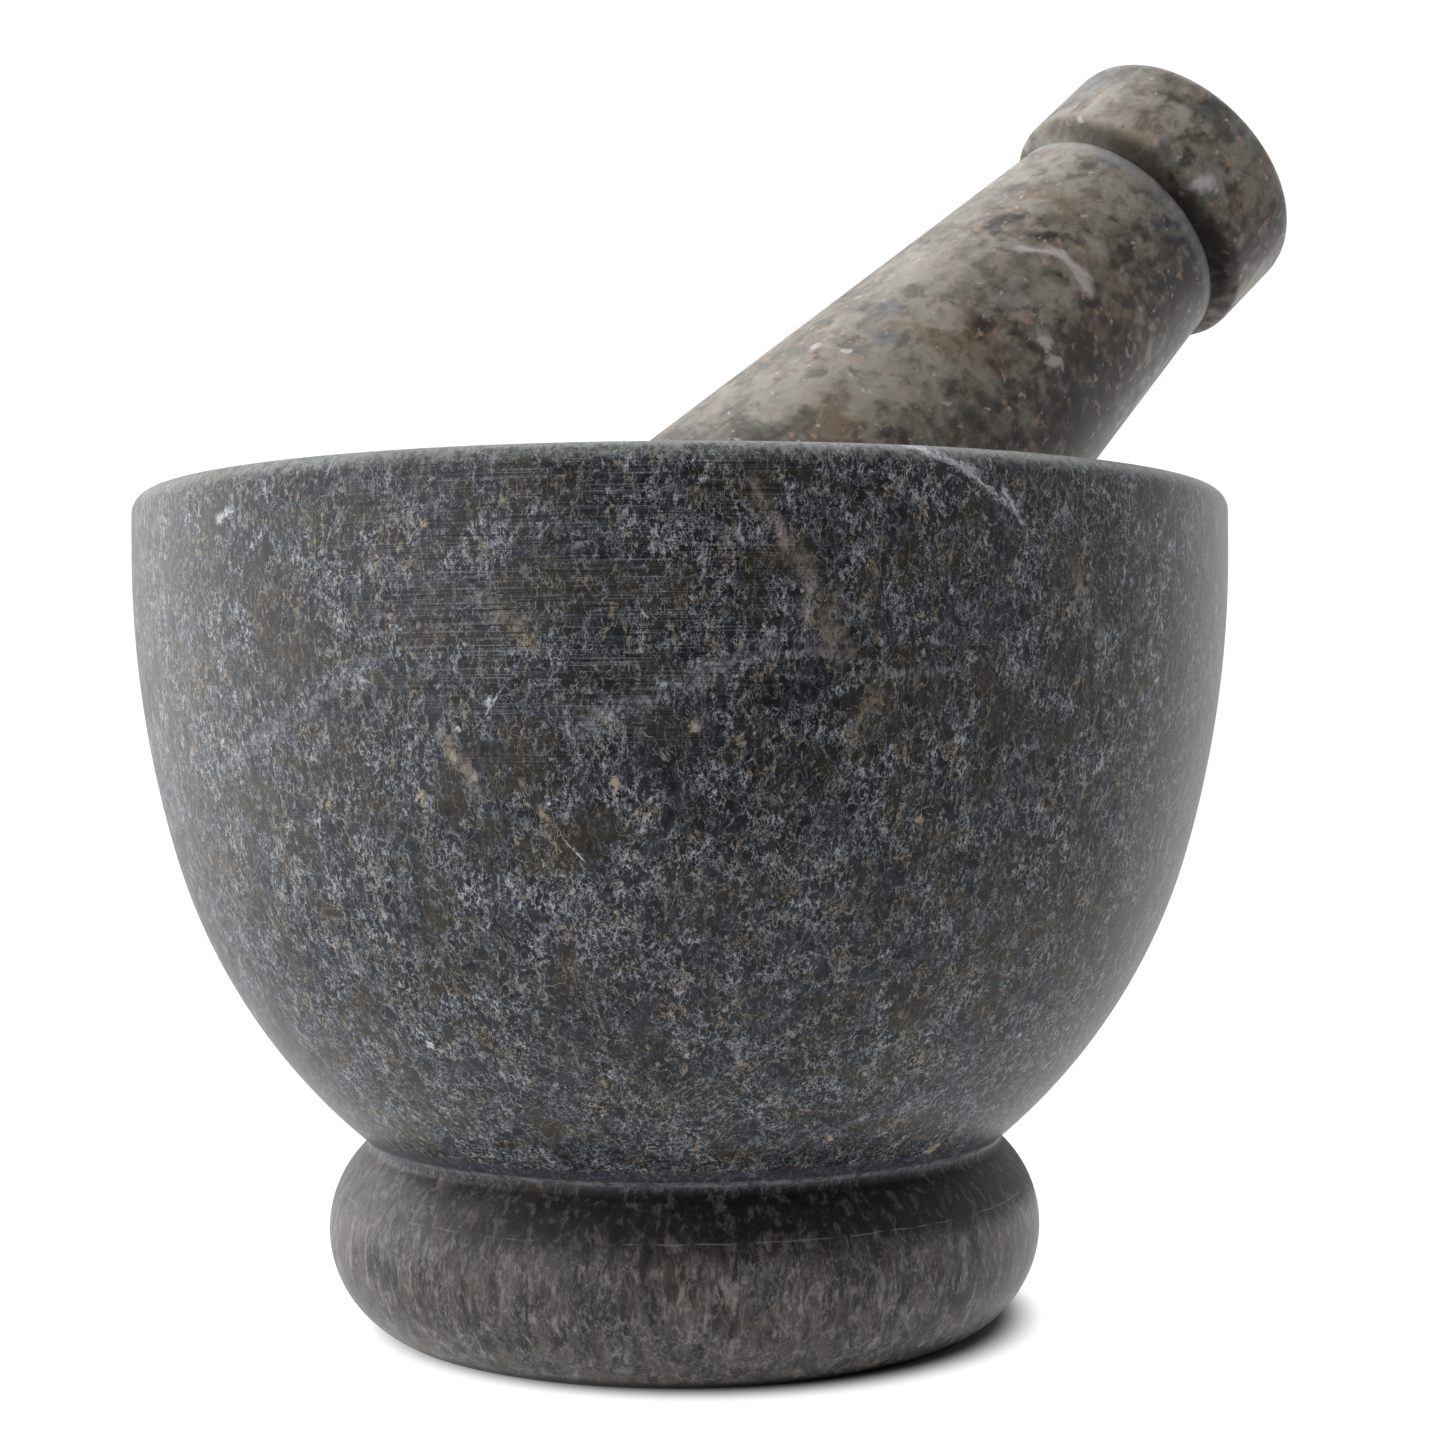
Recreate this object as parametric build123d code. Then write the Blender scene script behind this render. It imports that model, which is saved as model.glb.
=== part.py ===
from build123d import *
import os
from math import acos, asin, atan2, degrees, hypot

# Stone mortar and pestle, in millimetres.
# The mortar is turned from one block: an open bowl on a rounded foot, with a narrow neck between.
# The pestle is turned from a second block: a rounded grinding end, a shaft that narrows upwards,
# a groove and a cap. It stands in the bowl and leans on the rim, and nothing holds it there.
# The origin is the centre of the mortar's underside, and +Z runs up the mortar's axis.

# Mortar, outside
RIM_RADIUS = 50.0
MORTAR_HEIGHT = 75.0
OUTER_RIM_ROUNDING = 1.8
STRAIGHT_WALL_HEIGHT = 3.4  # a plain cylinder just below the rim
UPPER_BULGE_RADIUS = 97.0  # then the wall curves in gently
UPPER_BULGE_SWEEP = 16.0  # degrees
LOWER_BULGE_RADIUS = 54.0  # and then more tightly, down to the neck
NECK_RADIUS = 29.35

# Mortar, foot: its side is one round bead, which ends at the neck
FOOT_BEAD_RADIUS = 9.8
FOOT_BEAD_CENTRE = (23.0, 8.6)  # out from the axis, and up from the underside
FOOT_EDGE_ROUNDING = 0.6

# Mortar, inside: a hemisphere, and a cylinder above its centre
BOWL_RADIUS = 41.0
BOWL_CENTRE_HEIGHT = 60.5
INNER_RIM_ROUNDING = 2.5

# Pestle, from the grinding end up
GRINDING_END_RADIUS = 21.1
SHAFT_LENGTH = 88.0  # from the centre of the grinding end to the ridge
RIDGE_RADIUS = 12.6  # the top of the shaft, beside the groove
RIDGE_ROUNDING = 0.4
GROOVE_WIDTH = 2.0
GROOVE_RADIUS = 11.6
CAP_RADIUS = 14.1
CAP_LENGTH = 10.4
CAP_LOWER_ROUNDING = 0.9
CAP_UPPER_ROUNDING = 1.2
CAP_CROWN = 1.4  # how far the middle of the cap stands above its edge

# The pestle's place at rest
RIDGE_CENTRE = (45.3, 26.9, 105.0)
PESTLE_TILT = 48.4  # degrees away from upright
PESTLE_TURN = 28.0  # degrees from +X towards +Y


def round_corners(outline, roundings):
    """Rounds the corners of a flat outline: roundings maps each corner's place to its radius."""
    for corner, radius in roundings.items():
        outline = fillet(outline.vertices().sort_by_distance(corner)[0], radius)
    return outline


def turn(outline, name):
    """Sweeps half an outline, with radius along X and height along Y, round the Z axis."""
    solid = revolve(Plane.XZ * outline, axis=Axis.Z).solid()
    solid.label = name
    return solid


def make_mortar():
    """One stone: underside, foot, neck, wall, rim and bowl."""
    bead_out, bead_up = FOOT_BEAD_CENTRE
    bead_start = -degrees(asin(bead_up / FOOT_BEAD_RADIUS))
    bead_end = degrees(acos((NECK_RADIUS - bead_out) / FOOT_BEAD_RADIUS))
    bead = CenterArc(FOOT_BEAD_CENTRE, FOOT_BEAD_RADIUS, bead_start, bead_end - bead_start)

    wall_bottom = (RIM_RADIUS, MORTAR_HEIGHT - OUTER_RIM_ROUNDING - STRAIGHT_WALL_HEIGHT)
    upper_bulge = JernArc(wall_bottom, (0, -1), UPPER_BULGE_RADIUS, -UPPER_BULGE_SWEEP)
    neck_line = Axis((NECK_RADIUS, 0), (0, 1))
    lower_bulge = JernArc(upper_bulge @ 1, upper_bulge % 1, LOWER_BULGE_RADIUS, neck_line)

    outer_rim = (RIM_RADIUS, MORTAR_HEIGHT)
    inner_rim = (BOWL_RADIUS, MORTAR_HEIGHT)
    bowl = CenterArc((0, BOWL_CENTRE_HEIGHT), BOWL_RADIUS, 0, -90)

    neck = Line(bead @ 1, lower_bulge @ 1)
    wall_and_rim = Polyline(wall_bottom, outer_rim, inner_rim, bowl @ 0)
    axis_and_underside = Polyline(bowl @ 1, (0, 0), bead @ 0)
    outline = make_face([bead, neck, lower_bulge, upper_bulge, wall_and_rim, bowl, axis_and_underside])
    outline = round_corners(
        outline,
        {
            tuple(bead @ 0): FOOT_EDGE_ROUNDING,
            outer_rim: OUTER_RIM_ROUNDING,
            inner_rim: INNER_RIM_ROUNDING,
        },
    )
    return turn(outline, "mortar")


def make_pestle():
    """One stone, upright, with the centre of its round grinding end at the origin."""
    to_ridge = hypot(SHAFT_LENGTH, RIDGE_RADIUS)
    taper = asin(GRINDING_END_RADIUS / to_ridge) - atan2(RIDGE_RADIUS, SHAFT_LENGTH)
    grinding_end = CenterArc((0, 0), GRINDING_END_RADIUS, -90, 90 + degrees(taper))

    ridge = (RIDGE_RADIUS, SHAFT_LENGTH)
    groove = (GROOVE_RADIUS, SHAFT_LENGTH + GROOVE_WIDTH / 2)
    cap_lower = (CAP_RADIUS, SHAFT_LENGTH + GROOVE_WIDTH)
    cap_upper = (CAP_RADIUS, SHAFT_LENGTH + GROOVE_WIDTH + CAP_LENGTH)
    crown = (0, SHAFT_LENGTH + GROOVE_WIDTH + CAP_LENGTH + CAP_CROWN)
    side = Polyline(grinding_end @ 1, ridge, groove, cap_lower, cap_upper)
    top = TangentArc([crown, cap_upper], tangent=(1, 0))
    outline = make_face([grinding_end, side, top, Line(crown, grinding_end @ 0)])
    outline = round_corners(
        outline,
        {
            ridge: RIDGE_ROUNDING,
            cap_lower: CAP_LOWER_ROUNDING,
            cap_upper: CAP_UPPER_ROUNDING,
        },
    )
    return turn(outline, "pestle")


def rest_place():
    """Where the upright pestle goes: tilted, turned, and with its ridge at RIDGE_CENTRE."""
    lean = Rot(Z=PESTLE_TURN) * Rot(Y=PESTLE_TILT)
    return Pos(RIDGE_CENTRE) * lean * Pos(0, 0, -SHAFT_LENGTH)


parts = [make_mortar(), rest_place() * make_pestle()]
os.makedirs("parts", exist_ok=True)
for part in parts:
    export_step(part, f"parts/{part.label}.step")
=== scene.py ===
import math

import bpy
import numpy as np
from mathutils import Matrix, Vector


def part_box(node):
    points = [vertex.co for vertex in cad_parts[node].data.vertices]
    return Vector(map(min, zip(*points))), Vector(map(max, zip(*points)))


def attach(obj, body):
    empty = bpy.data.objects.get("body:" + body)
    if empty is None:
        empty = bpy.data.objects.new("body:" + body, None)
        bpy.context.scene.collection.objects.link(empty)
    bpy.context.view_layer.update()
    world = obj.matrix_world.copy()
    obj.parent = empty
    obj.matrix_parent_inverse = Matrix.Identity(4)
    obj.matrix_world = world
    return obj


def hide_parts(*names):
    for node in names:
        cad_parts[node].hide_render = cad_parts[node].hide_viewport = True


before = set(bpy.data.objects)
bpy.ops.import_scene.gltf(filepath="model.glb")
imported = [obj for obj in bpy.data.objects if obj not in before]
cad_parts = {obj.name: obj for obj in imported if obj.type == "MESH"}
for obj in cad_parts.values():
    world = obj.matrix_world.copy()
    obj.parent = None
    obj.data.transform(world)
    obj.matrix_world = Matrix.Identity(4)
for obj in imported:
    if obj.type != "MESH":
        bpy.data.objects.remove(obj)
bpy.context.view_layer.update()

# ---------------------------------------------------------------------------------------------
# Sizes. Everything is in metres; MM makes the stones' own sizes easy to read.
# ---------------------------------------------------------------------------------------------
MM = 0.001
QUARTER_TURN = math.pi / 2

mortar_low, mortar_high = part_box("mortar")
RIM_RADIUS = (mortar_high.x - mortar_low.x) / 2
MORTAR_HEIGHT = mortar_high.z
OUTER_RIM_ROUNDING = 1.8 * MM
STRAIGHT_WALL_HEIGHT = 3.4 * MM
UPPER_BULGE_RADIUS = 97.0 * MM
UPPER_BULGE_SWEEP = math.radians(16.0)
LOWER_BULGE_RADIUS = 54.0 * MM
NECK_RADIUS = 29.35 * MM
FOOT_BEAD_RADIUS = 9.8 * MM
FOOT_BEAD_CENTRE = (23.0 * MM, 8.6 * MM)
BOWL_RADIUS = 41.0 * MM
BOWL_CENTRE_HEIGHT = 60.5 * MM
INNER_RIM_ROUNDING = 2.5 * MM

GRINDING_END_RADIUS = 21.1 * MM
SHAFT_LENGTH = 88.0 * MM
RIDGE_RADIUS = 12.6 * MM
GROOVE_WIDTH = 2.0 * MM
GROOVE_RADIUS = 11.6 * MM
CAP_RADIUS = 14.1 * MM
CAP_LENGTH = 10.4 * MM
CAP_LOWER_ROUNDING = 0.9 * MM
CAP_UPPER_ROUNDING = 1.2 * MM
CAP_CROWN = 1.4 * MM
# Where the cap's edge rounding ends, in quarter turns, and the crown starts, in radians from its edge
CAP_EDGE_SWEEP = 0.9
CAP_CROWN_START = 0.07
RIDGE_CENTRE = Vector((45.3, 26.9, 105.0)) * MM
PESTLE_TILT = math.radians(48.4)
PESTLE_TURN = math.radians(28.0)

# How finely the outlines are drawn before they are spaced for the mesh
ARC_POINTS = 48
LONG_ARC_POINTS = 200
UPPER_BULGE_POINTS = 120
GRINDING_END_POINTS = 160
CROWN_POINTS = 60
OUTLINE_STEP = 0.04 * MM
SAME_POINT = 1e-9

# The meshes: how many columns go round each stone, how soft its corners are, and how far apart its
# rings are. The mortar's rings are closer at its neck and rim, and further apart in its bowl and base.
MORTAR_COLUMNS = 320
MORTAR_SOFTNESS = 0.12 * MM
WALL_SPACING = 0.5 * MM
BOWL_SPACING = 1.2 * MM
BOWL_SKIN = 0.3 * MM
BOWL_LOWEST = 18.0 * MM
BOWL_HIGHEST = BOWL_CENTRE_HEIGHT + 4 * MM
NECK_SPACING = 0.12 * MM
NECK_HEIGHT = 16.9 * MM
NECK_REACH = 1.4 * MM
RIM_SPACING = 0.22 * MM
RIM_LOWEST = MORTAR_HEIGHT - 2.6 * MM
BASE_SPACING = 2.0 * MM
BASE_HIGHEST = 0.05 * MM
PESTLE_COLUMNS = 224
PESTLE_SOFTNESS = 0.15 * MM
PESTLE_SPACING = 0.4 * MM

# The name of the mesh attribute with each corner's place in its own stone, in millimetres
OWN_PLACE = "own_place"

# The camera: where it stands, and how it is turned away from looking straight along +Y
CAMERA_DISTANCE = 220.5 * MM
CAMERA_HEIGHT = 53.7 * MM
CAMERA_YAW = math.radians(0.963)
CAMERA_PITCH = math.radians(0.224)
CAMERA_ROLL = math.radians(-0.297)
CAMERA_LENS_MM = 58.7
CAMERA_SENSOR_MM = 36.0
CAMERA_NEAREST = 5 * MM

# The floor is a disc that glows, but for the stretch under the foot, where its glow fades into a painted
# contact shadow
FLOOR_RADIUS = 0.12
FLOOR_SIDES = 96
FLOOR_DROP = 0.02 * MM
FLOOR_SHADE_CENTRE = (1.8 * MM, 0.0, 0.0)
FLOOR_SHADE_START = 32 * MM
FLOOR_SHADE_FULL = 27 * MM
FLOOR_GLOW = 0.97

# The white room: where its brightest part is, seen from the stones, and how strongly each part glows
KEY_DIRECTION = (-0.96, -0.15, 0.3)
KEY_GLOW = 3.0
RIGHT_GLOW = 0.85
BACK_GLOW = 0.95
TOP_GLOW = 2.6
DARKEST_GLOW = 0.03
SEEN_GLOW = 1.1


# ---------------------------------------------------------------------------------------------
# Turned outlines: lists of (radius, height) points
# ---------------------------------------------------------------------------------------------
def arc(centre, radius, start, end, count=ARC_POINTS):
    """Points on an arc, with its angles in radians from the radius axis."""
    angles = np.linspace(start, end, count)
    return np.column_stack([centre[0] + radius * np.cos(angles), centre[1] + radius * np.sin(angles)])


def along(points):
    """The distance along a line of points, at each point."""
    return np.concatenate([[0.0], np.cumsum(np.linalg.norm(np.diff(points, axis=0), axis=1))])


def softened(dense, softness):
    """A finely drawn outline, with its corners smoothed away by a bell curve of this width."""
    reach = int(3 * softness / OUTLINE_STEP)
    weights = np.exp(-0.5 * (np.arange(-reach, reach + 1) * OUTLINE_STEP / softness) ** 2)
    weights /= weights.sum()
    columns = []
    for axis in range(2):
        first, last = dense[0, axis], dense[-1, axis]
        padded = np.concatenate([np.full(reach, first), dense[:, axis], np.full(reach, last)])
        columns.append(np.convolve(padded, weights, mode="valid"))
    return np.column_stack(columns)


def resample(points, spacing_at, softness):
    """Points along an outline: corners softened by about softness, then spaced as spacing_at(point) asks."""
    length = along(points)
    keep = np.concatenate([[True], np.diff(length) > SAME_POINT])
    points, length = points[keep], length[keep]
    steps = np.arange(0.0, length[-1], OUTLINE_STEP)
    dense = np.column_stack([np.interp(steps, length, points[:, axis]) for axis in range(2)])
    # the ends sit on the axis, where there is no corner to soften
    to_an_end = np.minimum(steps, steps[-1] - steps)
    soft_share = np.clip(to_an_end / (6 * softness), 0, 1)[:, None]
    dense = softened(dense, softness) * soft_share + dense * (1 - soft_share)
    picked = [points[0]]
    run = 0.0
    for before, here in zip(dense[:-1], dense[1:]):
        run += np.linalg.norm(here - before)
        if run >= spacing_at(here):
            picked.append(here)
            run = 0.0
    picked.append(points[-1])
    return np.array(picked)


def mortar_outline():
    """From the middle of the underside, up the outside, over the rim, and down to the bottom of the bowl."""
    out, up = FOOT_BEAD_CENTRE
    bead_start = -math.asin(up / FOOT_BEAD_RADIUS)
    bead_end = math.acos((NECK_RADIUS - out) / FOOT_BEAD_RADIUS)
    wall_bottom = MORTAR_HEIGHT - OUTER_RIM_ROUNDING - STRAIGHT_WALL_HEIGHT
    upper_centre = (RIM_RADIUS - UPPER_BULGE_RADIUS, wall_bottom)
    step_in = UPPER_BULGE_RADIUS - LOWER_BULGE_RADIUS
    lower_centre = (
        upper_centre[0] + step_in * math.cos(UPPER_BULGE_SWEEP),
        upper_centre[1] - step_in * math.sin(UPPER_BULGE_SWEEP),
    )
    neck_angle = math.acos((NECK_RADIUS - lower_centre[0]) / LOWER_BULGE_RADIUS)
    outer = (RIM_RADIUS - OUTER_RIM_ROUNDING, MORTAR_HEIGHT - OUTER_RIM_ROUNDING)
    inner = (BOWL_RADIUS + INNER_RIM_ROUNDING, MORTAR_HEIGHT - INNER_RIM_ROUNDING)
    return np.vstack(
        [
            [(0.0, 0.0)],
            arc(FOOT_BEAD_CENTRE, FOOT_BEAD_RADIUS, bead_start, bead_end, LONG_ARC_POINTS),
            arc(lower_centre, LOWER_BULGE_RADIUS, -neck_angle, -UPPER_BULGE_SWEEP, LONG_ARC_POINTS),
            arc(upper_centre, UPPER_BULGE_RADIUS, -UPPER_BULGE_SWEEP, 0, UPPER_BULGE_POINTS),
            arc(outer, OUTER_RIM_ROUNDING, 0, QUARTER_TURN),
            arc(inner, INNER_RIM_ROUNDING, QUARTER_TURN, 2 * QUARTER_TURN),
            arc((0, BOWL_CENTRE_HEIGHT), BOWL_RADIUS, 0, -QUARTER_TURN, LONG_ARC_POINTS),
        ]
    )


def pestle_outline():
    """From the tip of the grinding end, up the shaft and over the cap, in the pestle's own frame."""
    to_ridge = math.hypot(SHAFT_LENGTH, RIDGE_RADIUS)
    taper = math.asin(GRINDING_END_RADIUS / to_ridge) - math.atan2(RIDGE_RADIUS, SHAFT_LENGTH)
    cap_bottom = SHAFT_LENGTH + GROOVE_WIDTH
    cap_top = cap_bottom + CAP_LENGTH
    crown_radius = (CAP_RADIUS**2 + CAP_CROWN**2) / (2 * CAP_CROWN)
    crown_centre = (0, cap_top + CAP_CROWN - crown_radius)
    crown_start = math.acos(CAP_RADIUS / crown_radius) + CAP_CROWN_START
    lower = (CAP_RADIUS - CAP_LOWER_ROUNDING, cap_bottom + CAP_LOWER_ROUNDING)
    upper = (CAP_RADIUS - CAP_UPPER_ROUNDING, cap_top - CAP_UPPER_ROUNDING)
    return np.vstack(
        [
            arc((0, 0), GRINDING_END_RADIUS, -QUARTER_TURN, taper, GRINDING_END_POINTS),
            [(RIDGE_RADIUS, SHAFT_LENGTH), (GROOVE_RADIUS, SHAFT_LENGTH + GROOVE_WIDTH / 2)],
            arc(lower, CAP_LOWER_ROUNDING, -QUARTER_TURN / 2, 0),
            arc(upper, CAP_UPPER_ROUNDING, 0, QUARTER_TURN * CAP_EDGE_SWEEP),
            arc(crown_centre, crown_radius, crown_start, QUARTER_TURN, CROWN_POINTS),
        ]
    )


def lathe(name, outline, columns, place=Matrix.Identity(4)):
    """A closed mesh that turns an outline, whose ends lie on the axis, round Z, and stands it at place.

    Each corner keeps its place in the stone's own frame, in millimetres, for the stone's pattern.
    """
    rings = outline[1:-1]
    angles = np.arange(columns) * 2 * math.pi / columns
    x = rings[:, 0:1] * np.cos(angles)
    y = rings[:, 0:1] * np.sin(angles)
    z = np.repeat(rings[:, 1:2], columns, axis=1)
    verts = np.stack([x, y, z], axis=-1).reshape(-1, 3)
    first_pole, last_pole = len(verts), len(verts) + 1
    verts = np.vstack([verts, [(0, 0, outline[0, 1])], [(0, 0, outline[-1, 1])]])
    faces = []
    for ring in range(len(rings) - 1):
        low, high = ring * columns, (ring + 1) * columns
        for i in range(columns):
            j = (i + 1) % columns
            faces.append((low + i, low + j, high + j, high + i))
    last_ring = (len(rings) - 1) * columns
    for i in range(columns):
        j = (i + 1) % columns
        faces.append((first_pole, j, i))
        faces.append((last_pole, last_ring + i, last_ring + j))
    mesh = bpy.data.meshes.new(name)
    mesh.from_pydata(verts.tolist(), [], faces)
    mesh.update()
    mesh.polygons.foreach_set("use_smooth", [True] * len(mesh.polygons))
    own = mesh.attributes.new(OWN_PLACE, "FLOAT_VECTOR", "POINT")
    own.data.foreach_set("vector", (verts / MM).ravel())
    mesh.transform(place)
    piece = bpy.data.objects.new(name, mesh)
    bpy.context.scene.collection.objects.link(piece)
    return piece


# ---------------------------------------------------------------------------------------------
# Places on the stones, in millimetres
# ---------------------------------------------------------------------------------------------
def on_side(side, angle, height):
    """A point at this height on a side, given as (radius, height) points that rise, at an angle from +X."""
    radius = float(np.interp(height, side[:, 1], side[:, 0]))
    return Vector((radius * math.cos(angle), radius * math.sin(angle), height))


def on_mortar(turn, height):
    """A point of the mortar's outside, from its turn in degrees from the front to the right and height."""
    outline = mortar_outline()[1:] / MM
    outside = outline[: int(np.argmax(outline[:, 1])) + 1]
    return on_side(outside, math.radians(turn) - QUARTER_TURN, height)


def on_pestle(turn, height):
    """A point of the pestle's side, from its turn in degrees round the axis and height along it."""
    side = pestle_outline()[GRINDING_END_POINTS - 1 :] / MM
    return on_side(side, math.radians(turn), height)


def across_vein(centre, slope):
    """The normal of a vein that runs into the stone at centre and rises to the right by slope degrees."""
    inward = Vector((centre.x, centre.y, 0)).normalized()
    level = Vector((-inward.y, inward.x, 0))
    run = level * math.cos(math.radians(slope)) + Vector((0, 0, math.sin(math.radians(slope))))
    return inward.cross(run).normalized()


# ---------------------------------------------------------------------------------------------
# Shader helpers. Each returns an output socket, and all lengths in the stones are in millimetres.
# ---------------------------------------------------------------------------------------------
def srgb(red, green, blue):
    """A colour given as 0 to 255 screen values, as the linear colour that a shader takes."""
    linear = [c / 255 / 12.92 if c <= 10 else ((c / 255 + 0.055) / 1.055) ** 2.4 for c in (red, green, blue)]
    return (*linear, 1.0)


class Nodes:
    """Builds one node tree, and clears it first."""

    # The sockets of a Mix node that mixes colours
    MIX_AMOUNT, MIX_UNDER, MIX_OVER, MIX_RESULT = 0, 6, 7, 2

    def __init__(self, tree):
        self.tree = tree
        self.tree.nodes.clear()

    def node(self, kind, inputs=(), **settings):
        """A new node. An input that is a socket is linked, and any other is the input's own value."""
        made = self.tree.nodes.new(kind)
        for key, value in settings.items():
            setattr(made, key, value)
        for key, value in dict(inputs).items():
            if isinstance(value, bpy.types.NodeSocket):
                self.tree.links.new(value, made.inputs[key])
            else:
                made.inputs[key].default_value = value
        return made

    def end(self, shader, output_kind):
        """Ends the tree in this shader."""
        output = self.node(output_kind)
        self.tree.links.new(shader.outputs[0], output.inputs["Surface"])

    def math(self, operation, *values, clamp=False):
        made = self.node("ShaderNodeMath", enumerate(values), operation=operation, use_clamp=clamp)
        return made.outputs[0]

    def many(self, operation, values):
        """Many values joined by one operation."""
        result = values[0]
        for value in values[1:]:
            result = self.math(operation, result, value)
        return result

    def times(self, *values):
        return self.many("MULTIPLY", values)

    def plus(self, *values):
        return self.many("ADD", values)

    def most(self, *values):
        return self.many("MAXIMUM", values)

    def vector(self, operation, *values):
        made = self.node("ShaderNodeVectorMath", enumerate(values), operation=operation)
        gives_number = operation in ("LENGTH", "DISTANCE", "DOT_PRODUCT")
        return made.outputs["Value" if gives_number else "Vector"]

    def ramp(self, value, low, high, to_low=0.0, to_high=1.0):
        """value from low to high, smoothly turned into to_low to to_high, and held at those beyond."""
        wanted = {"Value": value, "From Min": low, "From Max": high, "To Min": to_low, "To Max": to_high}
        return self.node("ShaderNodeMapRange", wanted, interpolation_type="SMOOTHSTEP").outputs[0]

    def near(self, value, middle, inside, outside):
        """1 where value is within inside of middle, and 0 further from it than outside."""
        away = self.math("ABSOLUTE", self.math("SUBTRACT", value, middle))
        return self.ramp(away, inside, outside, 1.0, 0.0)

    def band(self, value, start, full_from, full_to, end):
        """1 where value is between full_from and full_to, and 0 before start and past end."""
        return self.times(self.ramp(value, start, full_from), self.ramp(value, end, full_to))

    def mix(self, amount, under, over, blend="MIX"):
        inputs = {self.MIX_AMOUNT: amount, self.MIX_UNDER: under, self.MIX_OVER: over}
        made = self.node("ShaderNodeMix", inputs, data_type="RGBA", blend_type=blend, clamp_factor=True)
        return made.outputs[self.MIX_RESULT]

    def paint(self, under, over, where, strength):
        """The colour under, covered by the colour over, by where times strength."""
        return self.mix(self.times(where, strength), under, over)


class Stone(Nodes):
    """A stone's material. Its pattern reads each point's place in the stone, so it moves with the stone."""

    LOOSE_SCALE = 0.3
    WARP_DETAIL = 2.0
    SPECK_CORE = 0.6
    VEIN_WHOLE = 0.3
    VEIN_ENDS = 0.55
    REFRACTION = 1.5
    BUMP_HEIGHT = 0.02

    def __init__(self, name, on_stone, looseness):
        self.material = bpy.data.materials.new(name)
        self.material.use_nodes = True
        super().__init__(self.material.node_tree)
        self.on_stone = on_stone
        self.place = self.node("ShaderNodeAttribute", attribute_name=OWN_PLACE).outputs["Vector"]
        self.x, self.y, self.height = self.node("ShaderNodeSeparateXYZ", {0: self.place}).outputs
        self.loose = self.warp(self.place, self.LOOSE_SCALE, looseness)

    def noise(self, place, scale, detail=2.0, roughness=0.5, seed=0.0):
        """A noise from 0 to 1, mostly near 0.5, with blobs of about 1 / scale, which seed moves."""
        if seed:
            place = self.vector("ADD", place, (seed, seed, seed))
        wanted = {"Vector": place, "Scale": scale, "Detail": detail, "Roughness": roughness}
        return self.node("ShaderNodeTexNoise", wanted).outputs["Fac"]

    def uneven(self, size, **noise):
        """A noise of the stone, as a number on both sides of 0 that stays within half of size."""
        return self.times(self.math("SUBTRACT", self.noise(self.place, **noise), 0.5), size)

    def warp(self, place, scale, amount):
        """place, pushed about by up to amount."""
        wanted = {"Vector": place, "Scale": scale, "Detail": self.WARP_DETAIL}
        push = self.node("ShaderNodeTexNoise", wanted).outputs["Color"]
        push = self.vector("SUBTRACT", push, (0.5, 0.5, 0.5))
        return self.vector("ADD", place, self.vector("MULTIPLY", push, (2 * amount,) * 3))

    def drawn_up(self, place, squeeze):
        """place with its height squeezed, which draws a pattern out upwards."""
        return self.vector("MULTIPLY", place, (1.0, 1.0, squeeze))

    def threads(self, place, width, **noise):
        """1 on the thin threads where a noise passes through its middle, 0 off them."""
        return self.near(self.noise(place, **noise), 0.5, 0.0, width)

    def specks(self, place, scale, radius, share):
        """Round specks in a share of the cells of a grid whose cells are about 1 / scale across."""
        cells = self.node("ShaderNodeTexVoronoi", {"Vector": place, "Scale": scale})
        pick = self.node("ShaderNodeSeparateColor", {0: cells.outputs["Color"]}).outputs[0]
        chosen = self.math("LESS_THAN", pick, share)
        reach = radius * scale
        core = self.ramp(cells.outputs["Distance"], reach * self.SPECK_CORE, reach, 1.0, 0.0)
        return self.times(chosen, core)

    def blob(self, place, centre, radius, rough, edge):
        """1 round centre and 0 beyond radius, with an edge that a noise, rough, breaks up."""
        away = self.math("DIVIDE", self.vector("DISTANCE", place, centre), radius)
        return self.ramp(self.plus(away, rough), 1 - edge, 1.0, 1.0, 0.0)

    def marks(self, rows, place, rough, edge):
        """Blobs on the stone's side, from rows of turn, height and radius."""
        return self.most(*[self.blob(place, self.on_stone(a, h), r, rough, edge) for a, h, r in rows])

    def vein(self, centre, across, length, width, rough):
        """A flat sheet through centre, with across as its normal, that fades at its width and length."""
        from_centre = self.vector("SUBTRACT", self.place, centre)
        off = self.math("ABSOLUTE", self.plus(self.vector("DOT_PRODUCT", from_centre, across), rough))
        away = self.vector("LENGTH", from_centre)
        across_fade = self.ramp(off, 0.0, width, 1.0, 0.0)
        along_fade = self.ramp(away, length * self.VEIN_WHOLE, length * self.VEIN_ENDS, 1.0, 0.0)
        return self.times(across_fade, along_fade)

    def veins(self, rows, rough, wander):
        """Veins from rows of turn, height, slope, length and width. They stray by wander widths."""
        made = []
        for turn, height, slope, length, width in rows:
            centre = self.on_stone(turn, height)
            strays = self.times(rough, wander * width)
            made.append(self.vein(centre, across_vein(centre, slope), length, width, strays))
        return self.most(*made)

    def finish(self, colour, roughness, shine, bump=None):
        """A rubbed surface with this colour, roughness and shine, and low bumps."""
        inputs = {
            "Base Color": colour,
            "Roughness": roughness,
            "IOR": self.REFRACTION,
            "Specular IOR Level": shine,
        }
        if bump is not None:
            wanted = {"Height": bump, "Strength": 1.0, "Distance": self.BUMP_HEIGHT * MM}
            inputs["Normal"] = self.node("ShaderNodeBump", wanted).outputs[0]
        self.end(self.node("ShaderNodeBsdfPrincipled", inputs), "ShaderNodeOutputMaterial")
        return self.material


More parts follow.
